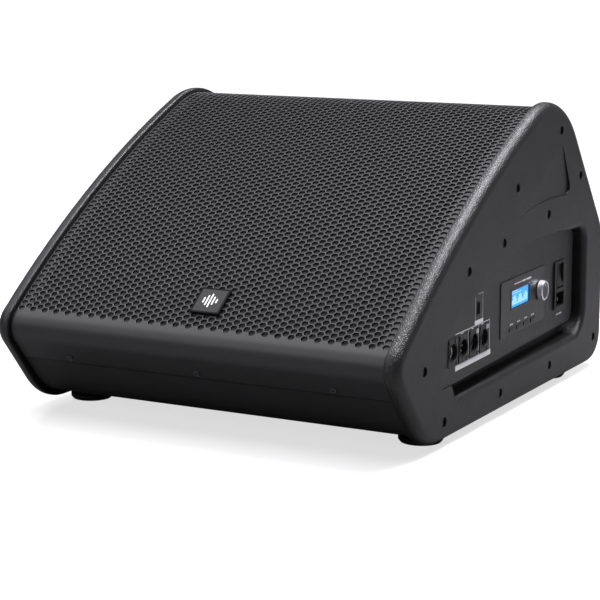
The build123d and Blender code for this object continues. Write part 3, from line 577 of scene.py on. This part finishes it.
def perforated_grille():
    """The bent sheet with its holes, made on a flat lattice and bent by on_grille."""
    cell, mouth, hole = hexagon(0), hexagon(BAR - HOLE_EDGE), hexagon(BAR)
    first = run_at(FIRST_ROW_Y)
    rows = int((run_at(LAST_ROW_Y) - first) / PITCH_RUN)
    verts, faces, known = [], [], {}

    def vertex(x, run, depth):
        key = (round(x, 2), round(run, 2), round(depth, 2))
        if key not in known:
            known[key] = len(verts)
            verts.append(on_grille(x, run, depth))
        return known[key]

    def sheet_quad(corners):
        front = [vertex(x, run, 0) for x, run in corners]
        back = [vertex(x, run, SHEET_THICKNESS) for x, run in corners]
        faces.append(front)
        faces.append(back[::-1])

    for row in range(2 * rows + 1):
        run = first + row * PITCH_RUN / 2
        count = COLUMNS - row % 2
        for column in range(count):
            x = (column - (count - 1) / 2) * PITCH_X
            layers = [
                (cell, 0), (mouth, 0), (hole, HOLE_EDGE), (hole, SHEET_THICKNESS), (cell, SHEET_THICKNESS),
            ]
            rings = [[vertex(x + u, run + v, depth) for u, v in outline] for outline, depth in layers]
            for outer, inner in zip(rings, rings[1:]):
                for i in range(6):
                    j = (i + 1) % 6
                    faces.append((outer[i], outer[j], inner[j], inner[i]))

    tip, corner, flat = cell[0][0], cell[1][0], PITCH_RUN / 2
    edge_x = (COLUMNS - 1) / 2 * PITCH_X
    for side in (-1, 1):
        for row in range(rows + 1):
            run = first + row * PITCH_RUN
            for a, b in (((corner, -flat), (tip, 0)), ((tip, 0), (corner, flat))):
                sheet_quad([
                    (side * (edge_x + a[0]), run + a[1]), (side * (edge_x + b[0]), run + b[1]),
                    (side * SHEET_HALF, run + b[1]), (side * SHEET_HALF, run + a[1]),
                ])

    def border(run, out):
        """The lattice's stepped lower (out -1) or upper (out 1) edge."""
        points = [(-SHEET_HALF, run + out * flat)]
        for column in range(COLUMNS):
            x = column * PITCH_X - edge_x
            if column:
                points.append((x - tip, run))
            points += [(x - corner, run + out * flat), (x + corner, run + out * flat)]
            if column < COLUMNS - 1:
                points.append((x + tip, run))
        return points + [(SHEET_HALF, run + out * flat)]

    def fill(edge, start, end, step):
        """Plain sheet between a stepped edge and a straight end of the sheet."""
        count = max(1, int(abs(end - start) / step))
        levels = [edge] + [
            [(x, start + (end - start) * i / count) for x, _ in edge] for i in range(count + 1)
        ]
        for near, far in zip(levels, levels[1:]):
            for i in range(len(edge) - 1):
                sheet_quad([near[i], near[i + 1], far[i + 1], far[i]])

    last = first + rows * PITCH_RUN
    fill(border(first, -1), first - flat - PLAIN_MARGIN, 0.0, LOW_STEP)
    fill(border(last, 1), last + flat + PLAIN_MARGIN, float(path_run[-1]), HIGH_STEP)
    piece = make_piece("grille_sheet", verts, faces, [COAT], slot="grille", sharp=30.0)
    shape = bmesh.new()
    shape.from_mesh(piece.data)
    rim = [e for e in shape.edges if e.is_boundary]
    bmesh.ops.bridge_loops(shape, edges=rim)
    bmesh.ops.recalc_face_normals(shape, faces=shape.faces)
    shape.to_mesh(piece.data)
    shape.free()
    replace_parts(piece, "grille")


perforated_grille()

# ================================================================ badge
BADGE_SIZE = 37.0
BADGE_X = 4.0
BADGE_Y = 49.0
badge_run = run_at(BADGE_Y)
badge_seat = Vector(on_grille(BADGE_X, badge_run))
badge_out = (badge_seat - Vector(on_grille(BADGE_X, badge_run, 1.0))).normalized()
badge_up = badge_out.cross(Vector((1, 0, 0)))


def on_badge(u, v, h):
    return badge_seat + Vector((1, 0, 0)) * u + badge_up * v + badge_out * h


def badge_rings(shape, outlines):
    shape.loft(
        [[on_badge(u, v, h) for u, v in outline] for outline, h in outlines],
        cap_first=True, cap_last=True,
    )


BADGE_STEPS = (             # how much smaller than the full size, corner radius, height
    (0.0, 1.6, 0.2), (0.0, 1.6, 2.1), (0.5, 1.4, 2.6), (1.4, 1.1, 2.8), (2.2, 0.9, 2.8), (2.6, 0.8, 2.55),
)
plate = Shape()
badge_rings(plate, [
    (rounded(BADGE_SIZE - less, BADGE_SIZE - less, radius), h) for less, radius, h in BADGE_STEPS
])
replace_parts(plate.piece("badge", [BADGE], slot="badge"), "badge_plate")

FIELD_SIZE = BADGE_SIZE - 5.0
field = Shape()
field_outline = rounded(FIELD_SIZE, FIELD_SIZE, 0.6)
badge_rings(field, [(field_outline, 2.5), (field_outline, 2.62)])
field.piece("badge_field", [FIELD], slot="badge")

MARK_PITCH = 4.0
MARK_WIDTH = 1.9
MARK_HEIGHTS = (8.0, 15.0, 20.0, 12.0, 6.0)
marks = Shape()
for column, height in enumerate(MARK_HEIGHTS, start=-2):
    bar = rounded(MARK_WIDTH, height, 0.9)
    badge_rings(marks, [([(column * MARK_PITCH + u, v) for u, v in bar], h) for h in (2.58, 2.78)])
marks.piece("badge_mark", [MARK], slot="badge")

# ================================================================ places on the panel
# Places are (back from the nose, above the floor).
SOCKET_PITCH = 30.0
SOCKETS = [(140.0 + SOCKET_PITCH * i, 101.5) for i in range(4)]
COMBO, LINK, *NETWORK = SOCKETS
DISPLAY = (343.2, 130.0)
DISPLAY_WIDTH = 57.5
DISPLAY_HEIGHT = 20.4
BUTTONS_Y = [315.0 + 23.5 * i for i in range(4)]
KNOB = (408.0, 127.0)
MAINS = (478.2, 122.5)
INLET = (MAINS[0], MAINS[1] - 17.5)
ROCKER = (MAINS[0], MAINS[1] + 11.5)

# ================================================================ silk-screened lines
INK_TOP = 0.07
INK_FOOT = -0.02
INK_STEP = 6.0
LINE = 0.7
THIN_LINE = LINE * 0.8


def ink_strip(shape, points, width):
    """A printed line through (y, z) points, cut into short steps so that it follows the panel."""
    for start, end in zip(points, points[1:]):
        a, b = Vector(start), Vector(end)
        along = unit(b - a)
        across = left_of(along) * width / 2
        a, b = a - along * width / 2, b + along * width / 2
        count = max(1, int((b - a).length / INK_STEP))
        rings = []
        for i in range(count + 1):
            c = a.lerp(b, i / count)
            left, right = c + across, c - across
            corners = ((left, INK_FOOT), (left, INK_TOP), (right, INK_TOP), (right, INK_FOOT))
            rings.append([on_skin(p.x, p.y, h) for p, h in corners])
        shape.loft(rings, cap_first=True, cap_last=True)


SOCKET_FRAME = [(122.7, 84.6), (124.6, 120.0), (247.4, 119.4), (248.0, 84.6)]
SOCKET_BAR = [(122.6, 82.0), (248.3, 82.0)]
USB_FRAME = [(204.2, 154.0), (226.0, 154.0), (226.0, 121.0), (204.2, 121.0), (204.2, 154.0)]
USB_BAR = [(205.0, 122.6), (225.2, 122.6)]
MAINS_DASHES = ((473.0, 480.0), (483.0, 491.0))
SOCKET_DASHES = ((132.0, 9.0), (163.0, 7.0), (194.0, 5.0), (222.0, 6.0))

ink = Shape()
ink_strip(ink, SOCKET_FRAME, LINE)
ink_strip(ink, SOCKET_BAR, 6.0)
for place in NETWORK:
    divider = place[0] - SOCKET_PITCH / 2
    ink_strip(ink, [(divider, 84.6), (divider, 119.6)], THIN_LINE)
ink_strip(ink, USB_FRAME, THIN_LINE)
ink_strip(ink, USB_BAR, 4.6)
for start, end in MAINS_DASHES:
    ink_strip(ink, [(start, 85.5), (end, 85.5)], 1.6)
for start, width in SOCKET_DASHES:
    ink_strip(ink, [(start, 118.0), (start + width, 118.0)], 0.8)
ink.piece("panel_print", [INK], slot="insert", sharp=30)

print_on_bezel = Shape()


def bezel_strip(start, end, z, width):
    outline = rounded(end - start, width, width * 0.3, 2)
    raised_plate(print_on_bezel, ((start + end) / 2, z), outline, 0.85, 0.96)


BUTTON_PRINT_Z = 101.4
TITLE_PRINT_Z = 147.5
for centre in BUTTONS_Y:
    bezel_strip(centre - 4.5, centre - 0.6, BUTTON_PRINT_Z, 1.3)
    bezel_strip(centre + 0.4, centre + 4.5, BUTTON_PRINT_Z, 1.3)
for start, end, width in ((322.0, 346.0, 1.1), (348.0, 360.0, 2.0), (362.0, 378.0, 2.0)):
    bezel_strip(start, end, TITLE_PRINT_Z, width)
print_on_bezel.piece("bezel_print", [INK], slot="insert")

# ================================================================ display
WINDOW_FACE = -0.1
GRAPH_TOP = -0.06
GRAPH_COLUMNS = 16
GRAPH_PITCH = 3.2


def display_outline(more, radius):
    """The display's opening drawn larger by the same amount in both directions."""
    return rounded(DISPLAY_WIDTH + more, DISPLAY_HEIGHT + more, radius)


screen = Shape()
raised_plate(screen, DISPLAY, display_outline(-0.5, 0.6), -0.42, WINDOW_FACE)
screen.piece("display_window", [BLUE], slot="lcd")

segments = Shape()
for column in range(GRAPH_COLUMNS):
    level = 2.0 + 9.0 * abs(math.sin(0.55 * column + 0.4))
    place = (DISPLAY[0] - 24 + column * GRAPH_PITCH, DISPLAY[1] - 7 + level / 2)
    raised_plate(segments, place, rounded(2.0, level, 0.1, 1), WINDOW_FACE, GRAPH_TOP)
for row, width in ((6.4, 30.0), (8.6, 18.0)):
    place = (DISPLAY[0] - 25 + width / 2, DISPLAY[1] + row)
    raised_plate(segments, place, rounded(width, 0.8, 0.1, 1), WINDOW_FACE, GRAPH_TOP)
segments.piece("display_graph", [PALE], slot="lcd")

display_frame = Shape()
outer = display_outline(5.5, 1.6)
lip = display_outline(0.8, 0.9)
inner = display_outline(-0.2, 0.7)
opening_frame(display_frame, DISPLAY, (
    (outer, 0.85), (outer, 1.25), (lip, 1.25), (inner, 0.5), (inner, -0.3),
))
display_frame.piece("display_frame", [FACE], slot="bezel")

# ================================================================ encoder knob
FLUTES = 60
FLUTE_DEPTH = 0.3
STEPS_PER_FLUTE = 4
BORE_RADIUS = 3.05


def knob_ring(radius, h, flute=0.0):
    points = []
    for i in range(FLUTES * STEPS_PER_FLUTE):
        a = math.tau * i / (FLUTES * STEPS_PER_FLUTE)
        r = radius - flute * (0.5 + 0.5 * math.cos(FLUTES * a))
        points.append(on_panel(KNOB[0] + r * math.cos(a), KNOB[1] + r * math.sin(a), h))
    return points


knob = Shape()
knob.loft([
    knob_ring(6.6, 3.4), knob_ring(6.6, 1.6), knob_ring(11.4, 1.6), knob_ring(11.9, 2.0),
    knob_ring(12.0, 2.5, FLUTE_DEPTH), knob_ring(12.0, 6.6, FLUTE_DEPTH), knob_ring(11.9, 6.9),
])
knob.loft([
    knob_ring(11.9, 6.9), knob_ring(12.0, 7.3), knob_ring(11.9, 7.9), knob_ring(11.4, 8.4),
    knob_ring(10.6, 8.58), knob_ring(9.8, 8.5), knob_ring(9.3, 8.2), knob_ring(9.15, 7.75),
], index=1)
knob.loft([
    knob_ring(9.15, 7.75), knob_ring(BORE_RADIUS, 7.75), knob_ring(BORE_RADIUS, 3.4), knob_ring(6.6, 3.4),
])
knob_piece = knob.piece("menu_knob", [KNOB_SIDE, KNOB_RING], body="encoder_rotor", slot="knob", sharp=40)
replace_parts(knob_piece, "encoder_knob")
pointer = Shape()
raised_plate(pointer, (KNOB[0], KNOB[1] + 6.4), rounded(1.1, 3.6, 0.5, 3), 8.38, 8.48)
pointer.piece("knob_pointer", [INK], body="encoder_rotor", slot="insert")

# ================================================================ sockets
COLLAR_STEPS = (            # radius, height: a raised ring rolled over at both edges
    (11.6, 0.7), (11.6, 1.05), (11.3, 1.35), (10.2, 1.35), (9.9, 0.95), (9.9, -2.0),
)
collars = Shape()
for place in SOCKETS:
    turned(collars, place, COLLAR_STEPS, 64)
collars.piece("socket_collars", [SOCKET], slot="socket")

PIN_RADIUS = 1.28
PIN_CIRCLE = 3.6
PIN_FOOT = -14.9
PIN_TIP = -2.2
PIN_STEPS = (
    (PIN_RADIUS, PIN_FOOT), (PIN_RADIUS, PIN_TIP - PIN_RADIUS),
    (PIN_RADIUS * 0.8, PIN_TIP - PIN_RADIUS * 0.4), (PIN_RADIUS * 0.3, PIN_TIP),
)
pins = Shape()
for angle in (30, 150, 270):
    a = math.radians(angle)
    place = (LINK[0] + PIN_CIRCLE * math.cos(a), LINK[1] + PIN_CIRCLE * math.sin(a))
    turned(pins, place, PIN_STEPS, 20, capped=True)
pins.piece("link_pins", [NICKEL], slot="steel")

JACK_STEPS = ((6.0, -3.02), (6.0, -2.4), (5.4, -2.1), (3.6, -2.1), (3.2, -2.5), (3.2, -12))
jack = Shape()
turned(jack, COMBO, JACK_STEPS, 40)
jack.piece("jack_bushing", [NICKEL], slot="steel")

CONTACT_PITCH = 1.02
contacts = Shape()
for y, z in NETWORK:
    for i in range(8):
        place = (y - 3.57 + CONTACT_PITCH * i, z + 0.9)
        raised_plate(contacts, place, rounded(0.5, 5.0, 0.1, 1), -17.0, -9.0)
contacts.piece("network_contacts", [GOLD], slot="steel")

shells = Shape()
outer = rounded(13.8, 10.2, 0.8, 3)
inner = rounded(12.0, 8.2, 0.3, 3)
for place in NETWORK:
    opening_frame(shells, place, ((outer, -4.1), (outer, -3.2), (inner, -3.2), (inner, -4.1)))
shells.piece("network_shells", [STEEL], slot="steel")

FLANGE_SCREW = (9.5, 12.0)  # from the socket's middle, one at each of two opposite corners
SCREW_HEAD_STEPS = ((2.55, 0.75), (2.55, 1.1), (2.2, 1.35), (1.5, 1.42), (1.2, 1.0))
flange_screws = Shape()
for y, z in SOCKETS:
    for sign in (-1, 1):
        place = (y + sign * FLANGE_SCREW[0], z - sign * FLANGE_SCREW[1])
        turned(flange_screws, place, SCREW_HEAD_STEPS, 24, capped=True)
flange_screws.piece("socket_screws", [SCREW], slot="fastener")

# ================================================================ driver suspension
# The baffle's face lies below a chord of the front; the driver is a run up that face.
CHORD_START = Vector((17.8, 132.8))
CHORD_END = Vector((363.8, 337.8))
BAFFLE_SETBACK = 30.0
DRIVER_RUN = 215.0
slope = unit(CHORD_END - CHORD_START)
driver_seat = CHORD_START + slope * DRIVER_RUN - left_of(slope) * BAFFLE_SETBACK
DRIVER_CENTRE = Vector((0, driver_seat.x - HALF_DEPTH, driver_seat.y))
DRIVER_OUT = Vector((0, *left_of(slope)))
DRIVER_UP = DRIVER_OUT.cross(Vector((1, 0, 0)))
RING_STEPS = 96


def on_driver(radius, angle, height):
    """A point near the driver: radius and angle round its axis, height out of the baffle face."""
    across = Vector((1, 0, 0)) * math.cos(angle) + DRIVER_UP * math.sin(angle)
    return DRIVER_CENTRE + across * radius + DRIVER_OUT * height


def suspension(name, profile, material, replaced, slot):
    """A ring lofted round the driver's axis from (radius, height) steps, shown in place of a part of the
    model.
    """
    shape = Shape()
    rings = []
    for radius, height in profile:
        rings.append([on_driver(radius, math.tau * i / RING_STEPS, height) for i in range(RING_STEPS)])
    shape.loft(rings + [rings[0]])
    ring = shape.piece(name, [material], body=None, slot=slot, sharp=50)
    centre = DRIVER_CENTRE * MM
    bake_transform(ring)
    for vertex in ring.data.vertices:
        away = vertex.co - centre
        radius = (away - DRIVER_OUT * away.dot(DRIVER_OUT)).length / MM
    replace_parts(ring, replaced)


ROLL_RADIUS = 124.7         # middle of the half-round roll
half_turn = [math.pi * i / 12 for i in range(13)]
roll_top = [(ROLL_RADIUS - 8.3 * math.cos(a), 1.3 + 7.4 * math.sin(a)) for a in half_turn]
roll_under = [(ROLL_RADIUS + 7.3 * math.cos(a), 0.35 + 7.1 * math.sin(a)) for a in half_turn]
roll_profile = roll_top + [(137.4, 1.3), (137.4, 0.35)] + roll_under + [(111.6, -3.3), (111.0, -2.4)]
suspension("suspension_roll", roll_profile, CLOTH, "woofer_surround", "surround")

SPIDER_START = 39.0
SPIDER_STEP = 0.5
SPIDER_HEIGHT = -76.6
WAVE_LENGTH = 7.4
WAVE_HEIGHT = 0.3
wave = []
for i in range(75):
    along = SPIDER_STEP * i
    swing = WAVE_HEIGHT * math.sin(math.tau * along / WAVE_LENGTH)
    wave.append((SPIDER_START + along, SPIDER_HEIGHT + swing))
spider_profile = [(r, h + 0.15) for r, h in wave] + [(79.4, -76.8), (79.4, -77.4)]
spider_profile += [(r, h - 0.25) for r, h in reversed(wave)]
suspension("spider_corrugation", spider_profile, RESIN, "woofer_spider", "spider")

# ================================================================ mains module
BLADE_FOOT = -15.9
BLADE_TIP = -2.9
blades = Shape()
for dy, dz in ((-7, -2), (7, -2), (0, 2)):
    place = (INLET[0] + dy, INLET[1] + dz)
    raised_plate(blades, place, rounded(2.16, 5.16, 0.3, 2), BLADE_FOOT, BLADE_TIP, edge=0.5)
blades.piece("mains_blades", [NICKEL], slot="steel")

inlet_frame = Shape()
outer = rounded(28.0, 20.0, 2.4)
rim = rounded(26.6, 18.6, 1.9)
inner = rounded(24.9, 16.9, 1.4)
opening_frame(inlet_frame, INLET, (
    (outer, 2.1), (outer, 2.6), (rim, 2.9), (inner, 2.5), (inner, -3.0),
))
inlet_frame.piece("inlet_collar", [SOCKET], slot="inlet")

rocker_frame = Shape()
outer = rounded(25.0, 34.0, 1.6)
rim = rounded(23.4, 32.4, 1.0)
inner = rounded(21.3, 30.5, 0.5)
opening_frame(rocker_frame, ROCKER, (
    (outer, 2.1), (outer, 2.5), (rim, 2.75), (inner, 2.3), (inner, 0.0),
))
rocker_frame.piece("rocker_frame", [SOCKET], slot="inlet")

# ================================================================ stage, light and camera
# Places and sizes are in metres here, and powers in watts.
FLOOR_RADIUS = 2.6
FLOOR_GLOW = 0.8            # share of the floor's own light where the camera sees it
FLOOR_SHEEN = 0.15          # share of its mirror-like reflection
FLOOR_BOUNCE = 0.10         # how much light it throws back onto the cabinet
WORLD_COLOUR = (0.96, 0.95, 1.0, 1)
WORLD_LIGHT = 0.22
WORLD_SEEN = 1.1
LAMP_COLOUR = (0.97, 0.95, 1.0)
LAMPS = (                   # name, place, target, size, power
    ("top_light", (-1.1, -0.35, 2.3), (0, -0.1, 0.2), (2.2, 2.4), 42),
    ("rim_light", (0.5, 0.6, 2.3), (0.25, 0, 0.25), (1.2, 1.2), 115),
    ("back_panel", (1.9, 2.3, 0.9), (0.25, 0, 0.2), (2.2, 1.2), 2),
    ("nose_light", (-0.9, -3.2, 1.9), (0, -0.3, 0.15), (2.6, 0.5), 34),
)
WASH_HEIGHT = 6
WASH_SIZE = (7, 7)
WASH_POWER = 900
CAMERA_PLACE = (1.0657, -2.0096, 0.5348)
CAMERA_AZIMUTH = 28.49
CAMERA_ELEVATION = 10.59
CAMERA_LENS = 114.4
CAMERA_SENSOR = 36


def mixed_shader(surface, factor, first, second):
    """Mix of two shader outputs; the factor is a number or another node's output."""
    made = surface.node("ShaderNodeMixShader")
    if isinstance(factor, float):
        made.inputs["Fac"].default_value = factor
    else:
        surface.link(factor, made.inputs["Fac"])
    surface.link(first, made.inputs[1])
    surface.link(second, made.inputs[2])
    return made.outputs["Shader"]


def studio_floor():
    """A pale glowing disc with a soft reflection, which lights the cabinet only faintly."""
    bpy.ops.mesh.primitive_circle_add(vertices=96, radius=FLOOR_RADIUS, fill_type="NGON")
    made = bpy.context.object
    made.name = "studio_floor"
    paper = Surface("studio_floor", (0.9, 0.9, 0.9), 0.6, specular=0.0)
    paper.rough(paper.ramp(paper.noise(3, 2), 0.55, 0.65))
    sheen = paper.node("ShaderNodeBsdfGlossy")
    sheen.inputs["Roughness"].default_value = 0.13
    sheen.inputs["Color"].default_value = (3, 3, 3, 1)
    glow = paper.node("ShaderNodeEmission")
    glow.inputs["Strength"].default_value = 1.0
    dim = paper.node("ShaderNodeBsdfDiffuse")
    dim.inputs["Color"].default_value = (FLOOR_BOUNCE, FLOOR_BOUNCE, FLOOR_BOUNCE, 1)
    ray = paper.node("ShaderNodeLightPath")
    lit = mixed_shader(paper, FLOOR_GLOW, paper.shader.outputs["BSDF"], glow.outputs["Emission"])
    polished = mixed_shader(paper, FLOOR_SHEEN, lit, sheen.outputs["BSDF"])
    shown = mixed_shader(paper, ray.outputs["Is Camera Ray"], dim.outputs["BSDF"], polished)
    paper.link(shown, paper.tree.nodes["Material Output"].inputs["Surface"])
    made.data.materials.append(paper.material)
    return made


def studio_world():
    """White where the camera sees it, and a weaker cool light for everything else."""
    world = bpy.data.worlds.new("studio")
    scene.world = world
    world.use_nodes = True
    tree = world.node_tree
    background = tree.nodes["Background"]
    seen = tree.nodes.new("ShaderNodeBackground")
    ray = tree.nodes.new("ShaderNodeLightPath")
    chooser = tree.nodes.new("ShaderNodeMixShader")
    background.inputs["Color"].default_value = WORLD_COLOUR
    background.inputs["Strength"].default_value = WORLD_LIGHT
    seen.inputs["Color"].default_value = (1, 1, 1, 1)
    seen.inputs["Strength"].default_value = WORLD_SEEN
    tree.links.new(ray.outputs["Is Camera Ray"], chooser.inputs["Fac"])
    tree.links.new(background.outputs["Background"], chooser.inputs[1])
    tree.links.new(seen.outputs["Background"], chooser.inputs[2])
    tree.links.new(chooser.outputs["Shader"], tree.nodes["World Output"].inputs["Surface"])
    scene.view_settings.view_transform = "Standard"


def soft_light(name, place, target, size, power):
    data = bpy.data.lights.new(name, "AREA")
    data.shape = "RECTANGLE"
    data.size, data.size_y = size
    data.energy = power
    data.color = LAMP_COLOUR
    lamp = bpy.data.objects.new(name, data)
    lamp.location = place
    lamp.rotation_euler = (Vector(target) - Vector(place)).to_track_quat("-Z", "Y").to_euler()
    scene.collection.objects.link(lamp)
    return lamp


def floor_wash(floor):
    """A strong light from above that reaches only the floor."""
    only_floor = bpy.data.collections.new("floor_only")
    only_floor.objects.link(floor)
    wash = soft_light("floor_wash", (0, 0, WASH_HEIGHT), (0, 0, 0), WASH_SIZE, WASH_POWER)
    wash.light_linking.receiver_collection = only_floor


def studio_camera():
    data = bpy.data.cameras.new("camera")
    data.lens = CAMERA_LENS
    data.sensor_width = CAMERA_SENSOR
    data.clip_end = 100
    camera = bpy.data.objects.new("camera", data)
    azimuth, elevation = math.radians(CAMERA_AZIMUTH), math.radians(CAMERA_ELEVATION)
    camera.location = CAMERA_PLACE
    look = Vector((
        -math.sin(azimuth) * math.cos(elevation),
        math.cos(azimuth) * math.cos(elevation),
        -math.sin(elevation),
    ))
    camera.rotation_euler = look.to_track_quat("-Z", "Y").to_euler()
    scene.collection.objects.link(camera)
    return camera


floor = studio_floor()
studio_world()
for lamp in LAMPS:
    soft_light(*lamp)
floor_wash(floor)
bpy.context.scene.camera = studio_camera()
